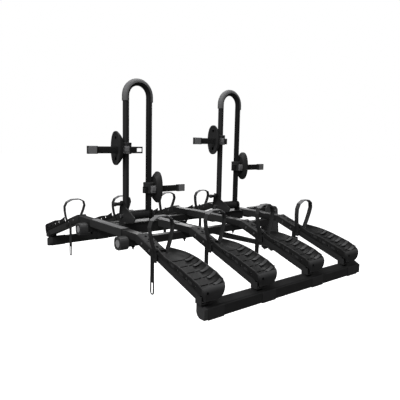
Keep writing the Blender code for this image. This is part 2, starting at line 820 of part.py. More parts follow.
def stinger():
    half = STINGER_SIZE / 2
    tube = square_tube(
        (-half, STINGER_START_Y, -half), (half, STINGER_END_Y, half), STINGER_WALL, 1, 0.004
    )
    tongue = box_mesh((-0.024, TILT_Y - 0.022, -0.0185), (0.024, STINGER_START_Y + 0.01, 0.0185), 0.004)
    way = cylinder_mesh((-0.1, 0, 0), (0.1, 0, 0), HITCH_PIN_RADIUS + GAP, 20)
    return cut(union(tube, tongue), way, tilt_pivot_way(TILT_RADIUS + GAP))


def hitch_pin():
    """A bent hitch pin through the stinger."""
    route = [(-0.052, 0, 0), (0.050, 0, 0), (0.060, -0.004, 0), (0.066, -0.012, 0), (0.070, -0.040, 0)]
    return smooth(tube_mesh(route, HITCH_PIN_RADIUS))


def tilt_bolt():
    outside = BRACKET_X + BRACKET_WALL + GAP
    head = 0.009
    profile = [
        (0.0, 0.015),
        (head, 0.015),
        (head, TILT_RADIUS),
        (head + 2 * outside, TILT_RADIUS),
        (head + 2 * outside, 0.015),
        (2 * head + 2 * outside, 0.015),
    ]
    return turned(profile, (-outside - head, TILT_Y, TILT_Z), (1, 0, 0), 16)


def spine(start_y, end_y):
    half = SPINE_SIZE / 2
    return square_tube(
        (-half, start_y, SPINE_TOP_Z - SPINE_SIZE), (half, end_y, SPINE_TOP_Z), TUBE_WALL + 0.0005, 1
    )


def end_cap(inner, mirror_x):
    """The moulded plug on one end of an end bar; inner is the end nearer to the vehicle."""
    if inner:
        cap = bar_piece(BAR_END_Y + GAP, BAR_END_Y + CAP_INNER_DEPTH)
    else:
        cap = bar_piece(BAR_START_Y - CAP_OUTER_DEPTH, BAR_START_Y - GAP)
    return moved(cap, mirror_x=mirror_x)


def strap_loop(loop_x, top_z, lean):
    """The standing loop of a wheel strap, a band bent round a tyre's section and tipped towards +Y."""
    half_route = (
        (0.0293, LOOP_FOOT_Z),
        (0.0298, 0.215),
        (0.0450, 0.258),
        (0.0545, 0.295),
        (0.0590, 0.326),
        (0.0500, 0.353),
        (0.0220, LOOP_TOP_Z),
    )
    plain = [(-y, z) for y, z in half_route] + list(reversed(half_route))
    stretch = (top_z - LOOP_FOOT_Z) / (LOOP_TOP_Z - LOOP_FOOT_Z)
    route = []
    for y, z in plain:
        rise = max(0.0, (z - 0.215) / (LOOP_TOP_Z - 0.215))
        route.append((y + lean * rise, LOOP_FOOT_Z + (z - LOOP_FOOT_Z) * stretch))
    low_x = loop_x - STRAP_WIDTH / 2
    high_x = loop_x + STRAP_WIDTH / 2
    rings = []
    for i, (y, z) in enumerate(route):
        before = Vector(route[max(i - 1, 0)])
        after = Vector(route[min(i + 1, len(route) - 1)])
        along = (after - before).normalized()
        side = Vector((-along.y, along.x)) * STRAP_WALL / 2
        left = Vector((y, z)) + side
        right = Vector((y, z)) - side
        rings.append([(low_x, *left), (high_x, *left), (high_x, *right), (low_x, *right)])
    return loft_mesh(rings)


def strap_tail(tail_x):
    """The strap's free end, which hangs beside the arm and ends in a slotted ring."""
    wide = STRAP_WIDTH / 2
    ring = TAIL_RING_WIDTH / 2
    outline = [(-wide, 0.222), (-wide, 0.120), (-ring, 0.095), (-ring, TAIL_END_Z + ring)]
    outline += [
        (-ring * math.cos(math.pi * i / 6), TAIL_END_Z + ring - ring * math.sin(math.pi * i / 6))
        for i in range(1, 6)
    ]
    outline += [(ring, TAIL_END_Z + ring), (ring, 0.095), (wide, 0.120), (wide, 0.222)]
    frame = frame_xz(-0.0298) @ Matrix.Translation((tail_x, 0, 0))
    half = TAIL_SLOT_WIDTH / 2
    slot = box_mesh((tail_x - half, -0.04, TAIL_END_Z + 0.006), (tail_x + half, -0.02, 0.086))
    return cut(plate_mesh(outline, STRAP_WALL, frame), slot)


def wheel_strap(shape):
    """A wheel strap for the near arm of a tray at Y = 0, with its anchor block."""
    loop_x, top_z, lean, tail_x = shape
    return union(strap_base(), strap_loop(loop_x, top_z, lean), strap_tail(tail_x))


def rail(x):
    half = RAIL_SIZE / 2
    low = (x - half, RAIL_START_Y, RAIL_TOP_Z - RAIL_SIZE)
    return square_tube(low, (x + half, RAIL_END_Y, RAIL_TOP_Z), TUBE_WALL, 1)


def saddle(y):
    """The U that holds a tray arm's end on top of the near end bar."""
    inner = TRAY_WIDTH / 2 + GAP
    outer = inner + CHEEK_WALL
    low = BAR_BOTTOM_Z + 0.0587
    floor = low + 0.003
    half = [(outer, low), (outer, CHEEK_TOP_Z), (inner, CHEEK_TOP_Z), (inner, floor)]
    outline = [(y + u, z) for u, z in half] + [(y - u, z) for u, z in reversed(half)]
    return plate_mesh(outline, SADDLE_LENGTH, frame_yz(BAR_X - 0.010 - SADDLE_LENGTH / 2))


def build_platform():
    tray_face = TRAY_WIDTH / 2 + SLEEVE_WALL + GAP
    object_from("spine_front", spine(TRAY_Y[0] + tray_face, TRAY_Y[1] - tray_face), PAINT)
    object_from("spine_rear", spine(TRAY_Y[2] + tray_face, TRAY_Y[3] - tray_face), PAINT)
    object_from("hitch_beam", spine(TRAY_Y[3] + tray_face, BEAM_END_Y), PAINT)
    object_from("drop_bracket", drop_bracket(), PAINT)
    for name, side in (("near", 1), ("far", -1)):
        x = side * RAIL_X
        object_from("rail_" + name, rail(x), PAINT)
        object_from("brace_" + name, brace(side), PAINT)
        object_from("rail_bumper_" + name, bumper(x), MOULDED)
        object_from("reflector_" + name, reflector(x), LENS)
        object_from("end_bar_" + name, end_bar(side < 0), PAINT)
        object_from("end_cap_outer_" + name, end_cap(False, side < 0), MOULDED)
        object_from("end_cap_inner_" + name, end_cap(True, side < 0), MOULDED)
    for number, y in enumerate(TRAY_Y, 1):
        object_from(f"tray_tube_{number}", tray_tube(y), PAINT)


def build_wheel_gear():
    holder, last = wheel_holder(), len(TRAY_Y)
    near_strap, near_last_strap, far_strap = map(wheel_strap, (STRAP_NEAR, STRAP_NEAR_LAST, STRAP_FAR))
    for number, y in enumerate(TRAY_Y, 1):
        for name, mirror in (("near", False), ("far", True)):
            label = f"{number}_{name}"
            strap = far_strap if mirror else near_last_strap if number == last else near_strap
            object_from("wheel_holder_" + label, moved(holder, (0, y, 0), mirror), MOULDED)
            object_from("wheel_strap_" + label, moved(strap, (0, y, 0), mirror), RUBBER)


def build_hoops():
    settings = iter(zip(HOLDER_Z, STRAP_TAIL))
    for name, first_tray in (("front", 0), ("rear", 2)):
        left, right = hoop_legs(first_tray)
        object_from("hoop_" + name, hoop(left, right), PAINT)
        object_from("hoop_cover_" + name, hoop_cover(left, right), COVER)
        object_from("hoop_base_" + name, hoop_base(left, right), PAINT)
        object_from("pull_knob_" + name, pull_knob(left), MOULDED)
        object_from("pivot_bolt_" + name, pivot_bolt(left, right), ZINC)
        for side, leg, way in (("left", left, -1), ("right", right, 1)):
            z, tail = next(settings)
            object_from(f"frame_cradle_{name}_{side}", frame_cradle(leg, z, way), MOULDED)
            object_from(f"frame_strap_{name}_{side}", frame_strap(leg, z, way, tail), RUBBER)


def build_hitch():
    object_from("hitch_stinger", stinger(), PAINT)
    object_from("hitch_pin", hitch_pin(), ZINC)
    object_from("tilt_bolt", tilt_bolt(), ZINC)
    object_from("tilt_lever", tilt_lever(), PAINT)


build_platform()
build_wheel_gear()
build_hoops()
build_hitch()
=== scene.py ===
"""Looks for the hitch mounted bike rack: satin black tubes, moulded holders, straps and a pale studio."""

import json
import math

import bmesh
import bpy
from mathutils import Matrix, Vector


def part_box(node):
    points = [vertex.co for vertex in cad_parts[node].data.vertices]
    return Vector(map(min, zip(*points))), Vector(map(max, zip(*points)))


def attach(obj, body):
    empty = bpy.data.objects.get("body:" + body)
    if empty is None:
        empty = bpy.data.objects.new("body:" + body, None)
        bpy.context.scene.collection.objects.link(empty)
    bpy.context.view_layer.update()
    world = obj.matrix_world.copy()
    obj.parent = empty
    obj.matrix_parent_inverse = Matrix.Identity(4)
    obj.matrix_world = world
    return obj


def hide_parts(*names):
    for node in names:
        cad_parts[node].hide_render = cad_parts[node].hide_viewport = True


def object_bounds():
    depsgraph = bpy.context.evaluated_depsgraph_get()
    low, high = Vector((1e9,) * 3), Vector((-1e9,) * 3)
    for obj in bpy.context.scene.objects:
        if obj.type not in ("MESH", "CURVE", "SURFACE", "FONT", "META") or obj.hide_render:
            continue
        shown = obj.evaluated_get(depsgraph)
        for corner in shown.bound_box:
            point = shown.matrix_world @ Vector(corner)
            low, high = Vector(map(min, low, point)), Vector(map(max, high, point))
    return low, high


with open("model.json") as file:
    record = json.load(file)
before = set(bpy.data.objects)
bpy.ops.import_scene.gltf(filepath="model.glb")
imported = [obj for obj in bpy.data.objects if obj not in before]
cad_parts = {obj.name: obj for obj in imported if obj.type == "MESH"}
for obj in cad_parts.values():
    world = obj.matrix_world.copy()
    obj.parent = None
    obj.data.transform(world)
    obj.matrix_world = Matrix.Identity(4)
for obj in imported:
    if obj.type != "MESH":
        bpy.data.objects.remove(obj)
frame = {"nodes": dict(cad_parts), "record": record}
cad_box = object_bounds()

TRAYS = (1, 2, 3, 4)
SIDES = {"near": 1, "far": -1}
HOOPS = ("front", "rear")
TUBE_RADIUS = 0.0159
RAIL_X = 0.200
STRAP_SHAPES = {  # the loop's X, its top Z and its lean towards +Y
    "near": (0.4425, 0.369, 0.0),
    "last": (0.4425, 0.368, 0.030),
    "far": (0.4120, 0.341, 0.018),
}
SHARP_ANGLE = 0.6
NODE_EDGE = 0.0009
MOULDED_EDGE = 0.0022
PLAIN_NODES = (  # their edges are left as they are
    "tilt_bolt",
    "hitch_pin",
    "pull_knob",
    "brace",
    "reflector",
    "hoop_front",
    "hoop_rear",
)
UPRIGHT = (0, 0, 1)
ALONG_Y = (0, 1, 0)


# ---------------------------------------------------------------- positions taken from the frame


def tray_y(number):
    low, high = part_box(f"tray_tube_{number}")
    return (low.y + high.y) / 2


def middle_z(node):
    low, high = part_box(node)
    return (low.z + high.z) / 2


SLEEVE_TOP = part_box("tray_tube_1")[1].z
TRAY_TOP = SLEEVE_TOP - 0.0025
KNEE_X = 0.292
ARM_SLOPE = 0.3488
ARM_ANGLE = math.atan(ARM_SLOPE)


def arm_top(x):
    """Height of an arm's upper face at a distance x from the middle."""
    return min(TRAY_TOP, TRAY_TOP + ARM_SLOPE * (KNEE_X - x))


# ---------------------------------------------------------------- camera, floor and lights


def make_camera():
    data = bpy.data.cameras.new("camera")
    camera = bpy.data.objects.new("camera", data)
    bpy.context.scene.collection.objects.link(camera)
    turn, down, roll = math.radians(49.77), math.radians(7.086), 0.0209
    ahead = Vector((-math.sin(turn) * math.cos(down), math.cos(turn) * math.cos(down), -math.sin(down)))
    right = Vector((math.cos(turn), math.sin(turn), 0.0))
    up = right.cross(ahead)
    rolled_right = right * math.cos(roll) + up * math.sin(roll)
    rolled_up = up * math.cos(roll) - right * math.sin(roll)
    place = Matrix.Identity(4)
    place.col[0].xyz = rolled_right
    place.col[1].xyz = rolled_up
    place.col[2].xyz = -ahead
    place.translation = Vector((1.9378, -2.4654, 0.679))
    camera.matrix_world = place
    data.sensor_width = 36.0
    data.lens = 40.46
    data.shift_x = 0.0031
    data.shift_y = -0.0079
    bpy.context.scene.camera = camera


def make_floor():
    floor_z = cad_box[0].z - 0.45
    bpy.ops.mesh.primitive_plane_add(size=60, location=(0, 0, floor_z))
    floor = bpy.context.object
    floor.name = "studio_floor"
    paper = bpy.data.materials.new("studio_paper")
    paper.use_nodes = True
    shader = paper.node_tree.nodes["Principled BSDF"]
    shader.inputs["Base Color"].default_value = (0.9, 0.9, 0.9, 1)
    shader.inputs["Roughness"].default_value = 0.9
    shader.inputs["Emission Color"].default_value = (1, 1, 1, 1)
    shader.inputs["Emission Strength"].default_value = 0.95
    floor.data.materials.append(paper)
    floor.visible_diffuse = False
    floor.visible_glossy = False


def add_area(name, place, aim, size, power):
    data = bpy.data.lights.new(name, "AREA")
    data.shape = "RECTANGLE"
    data.size, data.size_y = size
    data.energy = power
    light = bpy.data.objects.new(name, data)
    light.location = place
    light.rotation_mode = "QUATERNION"
    light.rotation_quaternion = (Vector(aim) - Vector(place)).to_track_quat("-Z", "Y")
    bpy.context.scene.collection.objects.link(light)


def make_lights():
    middle = (0.0, -0.75, 0.25)
    add_area("key_light", (1.4, -3.6, 3.0), middle, (1.6, 1.4), 75)
    add_area("top_light", (-0.4, -0.6, 3.4), middle, (2.0, 2.0), 55)
    add_area("rim_light", (-3.2, 1.8, 1.8), middle, (2.0, 2.0), 35)
    make_world()
    bpy.context.scene.view_settings.view_transform = "Standard"


def make_world():
    """A white studio to the camera that gives the object only a soft grey light."""
    world = bpy.data.worlds.new("studio")
    world.use_nodes = True
    nodes, links = world.node_tree.nodes, world.node_tree.links
    path = nodes.new("ShaderNodeLightPath")
    strength = nodes.new("ShaderNodeMapRange")
    strength.inputs["To Min"].default_value = 0.12
    strength.inputs["To Max"].default_value = 1.0
    links.new(path.outputs["Is Camera Ray"], strength.inputs["Value"])
    background = nodes["Background"]
    background.inputs["Color"].default_value = (1, 1, 1, 1)
    links.new(strength.outputs["Result"], background.inputs["Strength"])
    bpy.context.scene.world = world


# ---------------------------------------------------------------- materials


def new_material(name):
    made = bpy.data.materials.new(name)
    made.use_nodes = True
    return made, made.node_tree.nodes, made.node_tree.links


def noise(nodes, links, scale, detail):
    """A noise texture in the object's own coordinates."""
    coords = nodes.new("ShaderNodeTexCoord")
    made = nodes.new("ShaderNodeTexNoise")
    made.inputs["Scale"].default_value = scale
    made.inputs["Detail"].default_value = detail
    links.new(coords.outputs["Object"], made.inputs["Vector"])
    return made.outputs["Fac"]


def ramp(nodes, links, source, stops):
    """A colour ramp: stops are (position, (r, g, b))."""
    made = nodes.new("ShaderNodeValToRGB")
    links.new(source, made.inputs["Fac"])
    points = made.color_ramp.elements
    while len(points) < len(stops):
        points.new(0.5)
    for point, (place, colour) in zip(points, stops):
        point.position = place
        point.color = (*colour, 1)
    return made.outputs["Color"]


def spread(nodes, links, source, low, high):
    """The source's middle range carried to low..high."""
    made = nodes.new("ShaderNodeMapRange")
    made.inputs["From Min"].default_value = 0.3
    made.inputs["From Max"].default_value = 0.7
    made.inputs["To Min"].default_value = low
    made.inputs["To Max"].default_value = high
    links.new(source, made.inputs["Value"])
    return made.outputs["Result"]


def bump(nodes, links, source, strength, distance, below=None):
    made = nodes.new("ShaderNodeBump")
    made.inputs["Strength"].default_value = strength
    made.inputs["Distance"].default_value = distance
    links.new(source, made.inputs["Height"])
    if below is not None:
        links.new(below, made.inputs["Normal"])
    return made.outputs["Normal"]


def grey(value):
    return (value, value, value * 1.02)


def worn_coat(name, dark, light, rough, grain, grain_depth, metallic=0.0, edge=None, gloss=0.25):
    """A coated or moulded surface: cloudy tone, uneven gloss, fine grain and rubbed edges."""
    made, nodes, links = new_material(name)
    shader = nodes["Principled BSDF"]
    cloud = noise(nodes, links, 9.0, 4.0)
    tone = ramp(nodes, links, cloud, [(0.3, grey(dark)), (0.7, grey(light))])
    if edge is not None:
        geometry = nodes.new("ShaderNodeNewGeometry")
        rub = nodes.new("ShaderNodeMapRange")
        rub.inputs["From Min"].default_value = 0.53
        rub.inputs["From Max"].default_value = 0.62
        links.new(geometry.outputs["Pointiness"], rub.inputs["Value"])
        mixed = nodes.new("ShaderNodeMix")
        mixed.data_type = "RGBA"
        links.new(rub.outputs["Result"], mixed.inputs["Factor"])
        links.new(tone, mixed.inputs["A"])
        mixed.inputs["B"].default_value = (*grey(edge), 1)
        tone = mixed.outputs["Result"]
    links.new(tone, shader.inputs["Base Color"])
    links.new(
        spread(nodes, links, noise(nodes, links, 26.0, 5.0), rough - 0.06, rough + 0.07),
        shader.inputs["Roughness"],
    )
    shader.inputs["Metallic"].default_value = metallic
    shader.inputs["Specular IOR Level"].default_value = gloss
    fine = bump(nodes, links, noise(nodes, links, grain, 2.0), 0.5, grain_depth)
    broad = bump(nodes, links, noise(nodes, links, 30.0, 2.0), 0.25, 0.0006, fine)
    links.new(broad, shader.inputs["Normal"])
    return made


PAINT = worn_coat("powder_coat", 0.011, 0.017, 0.36, 520.0, 0.00012, edge=0.05)
ALLOY = worn_coat("coated_extrusion", 0.026, 0.036, 0.34, 700.0, 0.00008, edge=0.05)
PLASTIC = worn_coat("moulded_plastic", 0.019, 0.027, 0.50, 900.0, 0.00018, edge=0.075)
# near-black tone: painted shade inside grooves, holes and slots, also laid on small bolts and nuts
GROOVE = worn_coat("groove_shadow", 0.005, 0.008, 0.70, 900.0, 0.00010, gloss=0.05)
# a lighter copy of the moulded plastic: painted highlight on raised panels, ovals and the +Y rim lip
PANEL_HIGHLIGHT = worn_coat("raised_panel_highlight", 0.030, 0.042, 0.46, 900.0, 0.00015, edge=0.09)
CRADLE = worn_coat("cradle_plastic", 0.028, 0.040, 0.50, 800.0, 0.00015, edge=0.06)
RUBBER = worn_coat("strap_rubber", 0.013, 0.021, 0.56, 650.0, 0.00010, edge=0.05)
COVER = worn_coat("cover_plastic", 0.190, 0.230, 0.52, 800.0, 0.00014, edge=0.14)
PAD = worn_coat("strap_pad", 0.150, 0.200, 0.60, 700.0, 0.00015, edge=0.24)
# pale tone for the tray tops: a painted reflection of the overhead light
TRAY_HIGHLIGHT = worn_coat("tray_highlight_strip", 0.200, 0.260, 0.62, 420.0, 0.00020, edge=0.30)
CAST = worn_coat("cast_cap", 0.040, 0.060, 0.46, 420.0, 0.00020, edge=0.12)
BUCKLE = worn_coat("buckle_plastic", 0.210, 0.270, 0.50, 700.0, 0.00012, edge=0.32)
ZINC = worn_coat("zinc_plate", 0.38, 0.50, 0.34, 300.0, 0.00006, metallic=1.0)
LENS = worn_coat("reflector_lens", 0.42, 0.52, 0.20, 250.0, 0.00020)


def paint_node(name, material):
    node = frame["nodes"][name]
    node.data.materials.clear()
    node.data.materials.append(material)


def paint_nodes():
    """Every CAD node that stays visible gets its finish."""
    slots = {entry["node"]: entry["material_slot"] for entry in frame["record"]["subparts"]}
    finish = {
        "painted_steel": PAINT,
        "painted_aluminium": ALLOY,
        "moulded_plastic": PLASTIC,
        "strap_rubber": RUBBER,
        "grey_cover": COVER,
        "reflector": LENS,
        "zinc_steel": ZINC,
    }
    for name in frame["nodes"]:
        cradle = name.startswith("frame_cradle")
        paint_node(name, CRADLE if cradle else finish[slots[name]])


# ---------------------------------------------------------------- mesh helpers


def add_piece(name, mesh, materials, body, bevel=0.0):
    """A mesh as a piece that rides on a body, with its finishes and softened edges."""
    piece = bpy.data.objects.new(name, mesh)
    bpy.context.scene.collection.objects.link(piece)
    if not mesh.materials:
        for material in materials:
            mesh.materials.append(material)
    if bevel:
        soften(piece, bevel)
    mesh.shade_smooth()
    mesh.set_sharp_from_angle(angle=SHARP_ANGLE)
    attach(piece, body)
    return piece


def soften(piece, width):
    edge = piece.modifiers.new("soft_edges", "BEVEL")
    edge.width = width
    edge.segments = 2
    edge.limit_method = "ANGLE"
    edge.angle_limit = math.radians(38)


def finished(bm, name):
    mesh = bpy.data.meshes.new(name)
    bmesh.ops.recalc_face_normals(bm, faces=bm.faces)
    bm.to_mesh(mesh)
    bm.free()
    return mesh


def loft(bm, rings, closed=True, material=0):
    """Faces between rings of equally many points; the first and last ring are filled when closed."""
    loops = [[bm.verts.new(point) for point in ring] for ring in rings]
    count = len(loops[0])
    faces = []
    for near, far in zip(loops, loops[1:]):
        for i in range(count):
            j = (i + 1) % count
            faces.append(bm.faces.new((near[i], near[j], far[j], far[i])))
    if closed:
        faces.append(bm.faces.new(loops[0]))
        faces.append(bm.faces.new(loops[-1]))
    for face in faces:
        face.material_index = material


def round_steps(sides):
    """Angles evenly round a circle."""
    return [2 * math.pi * i / sides for i in range(sides)]


def collar(bm, leg_y, z, profile, sides):
    """An open turned band round a hoop leg: (height, radius) pairs."""
    rings = []
    for along, radius in profile:
        rings.append(
            [
                (radius * math.cos(a), leg_y + radius * math.sin(a), z + along)
                for a in round_steps(sides)
            ]
        )
    loft(bm, rings, False)


def turned(bm, start, direction, profile, sides, material=0):
    """A turned solid: (distance along, radius) pairs."""
    start, direction = Vector(start), Vector(direction).normalized()
    turn = direction.to_track_quat("Z", "Y").to_matrix()
    rings = []
    for along, radius in profile:
        rings.append(
            [
                start + turn @ Vector((radius * math.cos(a), radius * math.sin(a), along))
                for a in round_steps(sides)
            ]
        )
    loft(bm, rings, True, material)


def rod(length, radius):
    """The profile of a plain cylinder, for turned."""
    return [(0.0, radius), (length, radius)]


def dome(bm, start, direction, radius, height, material=0, sides=18):
    """A button head: a short skirt and a rounded top."""
    profile = [
        (0.0, radius),
        (height * 0.45, radius),
        (height * 0.8, radius * 0.8),
        (height, radius * 0.35),
    ]
    turned(bm, start, direction, profile, sides, material)


def slab(bm, centre, across, up, half_u, half_v, thick, corner, material=0):
    """A rounded plate: half sizes along across and up, standing thick out of its plane."""
    centre, across, up = Vector(centre), Vector(across).normalized(), Vector(up).normalized()
    out = across.cross(up)
    outline = []
    for quarter in range(4):
        inside = quarter * math.pi / 2 + 0.7  # any angle well within the quarter
        for i in range(5):
            angle = quarter * math.pi / 2 + i * math.pi / 8
            corner_u = math.copysign(half_u - corner, math.cos(inside))
            corner_v = math.copysign(half_v - corner, math.sin(inside))
            outline.append((corner_u + corner * math.cos(angle), corner_v + corner * math.sin(angle)))
    edge = min(corner, thick) * 0.35
    levels = ((0.0, 1.0), (thick - edge, 1.0), (thick, 1.0 - edge / min(half_u, half_v)))
    rings = [
        [centre + across * u * k + up * v * k + out * lift for u, v in outline] for lift, k in levels
    ]
    loft(bm, rings, True, material)


# ---------------------------------------------------------------- wheel holders


HOLDER_LIFT = 0.001
HOLDER_WALL = 0.0035
# Each station gives X, the -Y rim's Y and Z, the +Y rim's Y and Z, and the floor's two Y edges.
HOLDER_STATIONS = (
    (0.460, -0.0290, 0.2360, 0.0320, 0.2360, -0.0240, 0.0260),
    (0.480, -0.0295, 0.2262, 0.0600, 0.2275, -0.0240, 0.0360),
    (0.512, -0.0300, 0.2125, 0.0840, 0.2180, -0.0240, 0.0480),
    (0.556, -0.0300, 0.2035, 0.0950, 0.2070, -0.0240, 0.0560),
    (0.600, -0.0300, 0.1940, 0.0980, 0.1950, -0.0240, 0.0600),
    (0.680, -0.0300, 0.1695, 0.0980, 0.1735, -0.0240, 0.0600),
    (0.722, -0.0300, 0.1560, 0.0930, 0.1580, -0.0240, 0.0560),
    (0.740, -0.0285, 0.1450, 0.0870, 0.1475, -0.0225, 0.0530),
)
# The nose adds the floor's Z.
HOLDER_NOSE = (
    (0.7400, -0.0285, 0.1450, 0.0870, 0.1475, -0.0225, 0.0530, 0.1120),
    (0.7450, -0.0270, 0.1415, 0.0840, 0.1430, -0.0210, 0.0500, 0.0930),
    (0.7510, -0.0245, 0.1350, 0.0800, 0.1350, -0.0195, 0.0470, 0.0935),
    (0.7538, -0.0225, 0.1285, 0.0755, 0.1275, -0.0180, 0.0450, 0.0965),
)
GROOVE_X = (0.520, 0.562, 0.604, 0.646, 0.688)
GROOVE_HALF = 0.0025
GROOVE_Y = (-0.016, 0.048)
HOLE_RADIUS = 0.0066
SIDE_HOLE_X = (0.535, 0.590, 0.645, 0.700)


def eased_stations(steps=4):
    """The holder's stations with smooth ones between, so its rims run as curves."""
    made = []
    last = len(HOLDER_STATIONS) - 1
    for i in range(last):
        p0 = HOLDER_STATIONS[max(i - 1, 0)]
        p1, p2 = HOLDER_STATIONS[i], HOLDER_STATIONS[i + 1]
        p3 = HOLDER_STATIONS[min(i + 2, last)]
        for k in range(steps):
            t = k / steps
            row = [p1[0] + (p2[0] - p1[0]) * t]
            for a, b, c, d in zip(p0[1:], p1[1:], p2[1:], p3[1:]):
                bend = (2 * a - 5 * b + 4 * c - d) * t**2
                twist = (3 * b - a - 3 * c + d) * t**3
                row.append((2 * b + (c - a) * t + bend + twist) / 2)
            made.append(tuple(row))
    made.append(HOLDER_STATIONS[-1])
    return made


def wall_curve(rim, foot, steps=5):
    """Points from a rim down to the floor's edge, full near the rim and turned in below."""
    knee = (foot[0] * 0.15 + rim[0] * 0.85, foot[1] * 0.85 + rim[1] * 0.15)
    points = []
    for i in range(steps + 1):
        t = i / steps
        points.append(
            tuple(rim[k] * (1 - t) ** 2 + 2 * knee[k] * t * (1 - t) + foot[k] * t * t for k in (0, 1))
        )
    return points


def trough_ring(station, floor_z, inset=0.0):
    """One cross-section of a trough, from its -Y rim under the floor to its +Y rim."""
    x, left, left_z, right, right_z, floor_left, floor_right = station[:7]
    left_wall = wall_curve((left + inset, left_z), (floor_left + inset, floor_z))
    right_wall = wall_curve((right - inset, right_z), (floor_right - inset, floor_z))
    return [(x, y, z) for y, z in left_wall + list(reversed(right_wall))]


def cut_with(mesh, cutters):
    """The mesh with the cutters' shapes taken out, and their material on the new faces."""
    body = bpy.data.objects.new("cut_body", mesh)
    tool = bpy.data.objects.new("cut_tool", cutters)
    for made in (body, tool):
        bpy.context.scene.collection.objects.link(made)
    step = body.modifiers.new("cut", "BOOLEAN")
    step.operation = "DIFFERENCE"
    step.solver = "EXACT"
    step.material_mode = "TRANSFER"
    step.object = tool
    bpy.context.view_layer.update()
    graph = bpy.context.evaluated_depsgraph_get()
    made = bpy.data.meshes.new_from_object(body.evaluated_get(graph))
    bpy.data.objects.remove(body)
    bpy.data.objects.remove(tool)
    return made


def holder_mesh():
    """The trough of a near holder on a tray at Y = 0, with grooves and side holes."""
    bm = bmesh.new()
    rings = []
    for station in eased_stations():
        floor_z = arm_top(station[0]) + HOLDER_LIFT
        outer = trough_ring(station, floor_z)
        inner = trough_ring(station, floor_z + HOLDER_WALL, HOLDER_WALL)
        rings.append(outer + list(reversed(inner)))
    loft(bm, rings)
    trough = finished(bm, "trough")
    trough.materials.append(PLASTIC)
    bm = bmesh.new()
    for x in GROOVE_X:
        left, right = x - GROOVE_HALF, x + GROOVE_HALF
        start, end = GROOVE_Y
        corners = ((left, start), (right, start), (right, end), (left, end))
        low = arm_top(x) + 0.0030
        loft(bm, [[(px, py, z) for px, py in corners] for z in (low, low + 0.012)])
    for x in SIDE_HOLE_X:
        turned(bm, (x, -0.045, arm_top(x) + 0.016), ALONG_Y, rod(0.030, HOLE_RADIUS), 16)
    cutters = finished(bm, "grooves")
    cutters.materials.append(GROOVE)
    return cut_with(trough, cutters)


def wall_strips(bm):
    """Slanted strips of painted shade up the inside of the +Y wall, with a raised panel in a
    painted-highlight tone beside each.
    """
    for x in GROOVE_X:
        station = nearest_station(x + 0.008)
        floor_z = arm_top(x) + HOLDER_LIFT
        rim = (station[3] - HOLDER_WALL, station[4] - 0.006)
        foot = (station[6] - HOLDER_WALL, floor_z + HOLDER_WALL)
        curve = wall_curve(rim, foot)
        groove, panel = [], []
        for i, (y, z) in enumerate(curve):
            lean = 0.016 * (1 - i / (len(curve) - 1))
            groove.append(
                [
                    (x + lean - 0.0022, y - 0.0004, z + 0.0006),
                    (x + lean + 0.0022, y - 0.0004, z + 0.0006),
                    (x + lean + 0.0022, y + 0.0012, z),
                    (x + lean - 0.0022, y + 0.0012, z),
                ]
            )
            panel.append(
                [
                    (x + lean + 0.0050, y - 0.0012, z + 0.0012),
                    (x + lean + 0.0220, y - 0.0012, z + 0.0012),
                    (x + lean + 0.0225, y + 0.0010, z),
                    (x + lean + 0.0045, y + 0.0010, z),
                ]
            )
        loft(bm, groove, True, 1)
        loft(bm, panel[:-1], True, 2)


def nearest_station(x):
    return min(eased_stations(), key=lambda station: abs(station[0] - x))


def holder_trim():
    """The nose, wall strips, rim lips, ovals and bolts of a near holder on a tray at Y = 0."""
    bm = bmesh.new()
    loft(bm, [trough_ring(station, station[7]) for station in HOLDER_NOSE])
    wall_strips(bm)
    lip = 0.0027
    # the +Y lip takes the lighter tone as painted highlight, the -Y lip keeps the plain plastic
    for sign, rim, height in ((-1, 1, 2), (1, 3, 4)):
        rings = []
        for station in eased_stations():
            x, y, z = station[0], station[rim], station[height]
            centre = y - sign * 0.0017
            rings.append(
                [
                    (x, centre + lip * math.cos(a), z - 0.0010 + lip * math.sin(a))
                    for a in round_steps(8)
                ]
            )
        loft(bm, rings, True, 2 if sign > 0 else 0)
    # raised ovals on the -Y wall in the lighter tone: painted highlight
    for x in (0.562, 0.617, 0.672):
        z = arm_top(x) + 0.017
        slab(bm, (x, -0.0292, z), (1, 0, -ARM_SLOPE), UPRIGHT, 0.012, 0.0055, 0.0014, 0.0054, 2)
    # the nose bolts take the near-black tone: their dark colour with painted shade
    dome(bm, (0.7530, -0.011, 0.127), (1, 0, 0), 0.0052, 0.0022, 3)
    dome(bm, (0.7480, 0.022, 0.104), (1, 0, 0), 0.0052, 0.0050, 3)
    return finished(bm, "holder_trim")


def placed(mesh, tray, side):
    """A copy of a near-side mesh carried to a tray, and mirrored for the far side."""
    made = mesh.copy()
    made.transform(Matrix.Translation((0, tray, 0)))
    if side < 0:
        made.transform(Matrix.Scale(-1.0, 4, (1, 0, 0)))
        made.flip_normals()
    return made


def build_holders():
    trough, trim = holder_mesh(), holder_trim()
    for number in TRAYS:
        for label, side in SIDES.items():
            place = tray_y(number), side
            node = f"wheel_holder_{number}_{label}"
            tray_trough = placed(trough, *place)
            shell = add_piece(
                node + "_shell", tray_trough, [], "platform", bevel=0.0006
            )
            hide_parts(node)
            finishes = [PLASTIC, GROOVE, PANEL_HIGHLIGHT, GROOVE]
            detail = placed(trim, *place)
            add_piece(node + "_trim", detail, finishes, "platform")


# ---------------------------------------------------------------- straps, cradles and small parts


LOOP_FOOT_Z = 0.190
LOOP_BEND_Z = 0.215
LOOP_TOP_Z = 0.369
# Half of an unleaned loop, (Y, Z) from its lower bend to its top.
LOOP_HALF = (
    (0.0298, LOOP_BEND_Z),
    (0.0450, 0.258),
    (0.0545, 0.295),
    (0.0590, 0.326),
    (0.0500, 0.353),
    (0.0220, LOOP_TOP_Z),
)


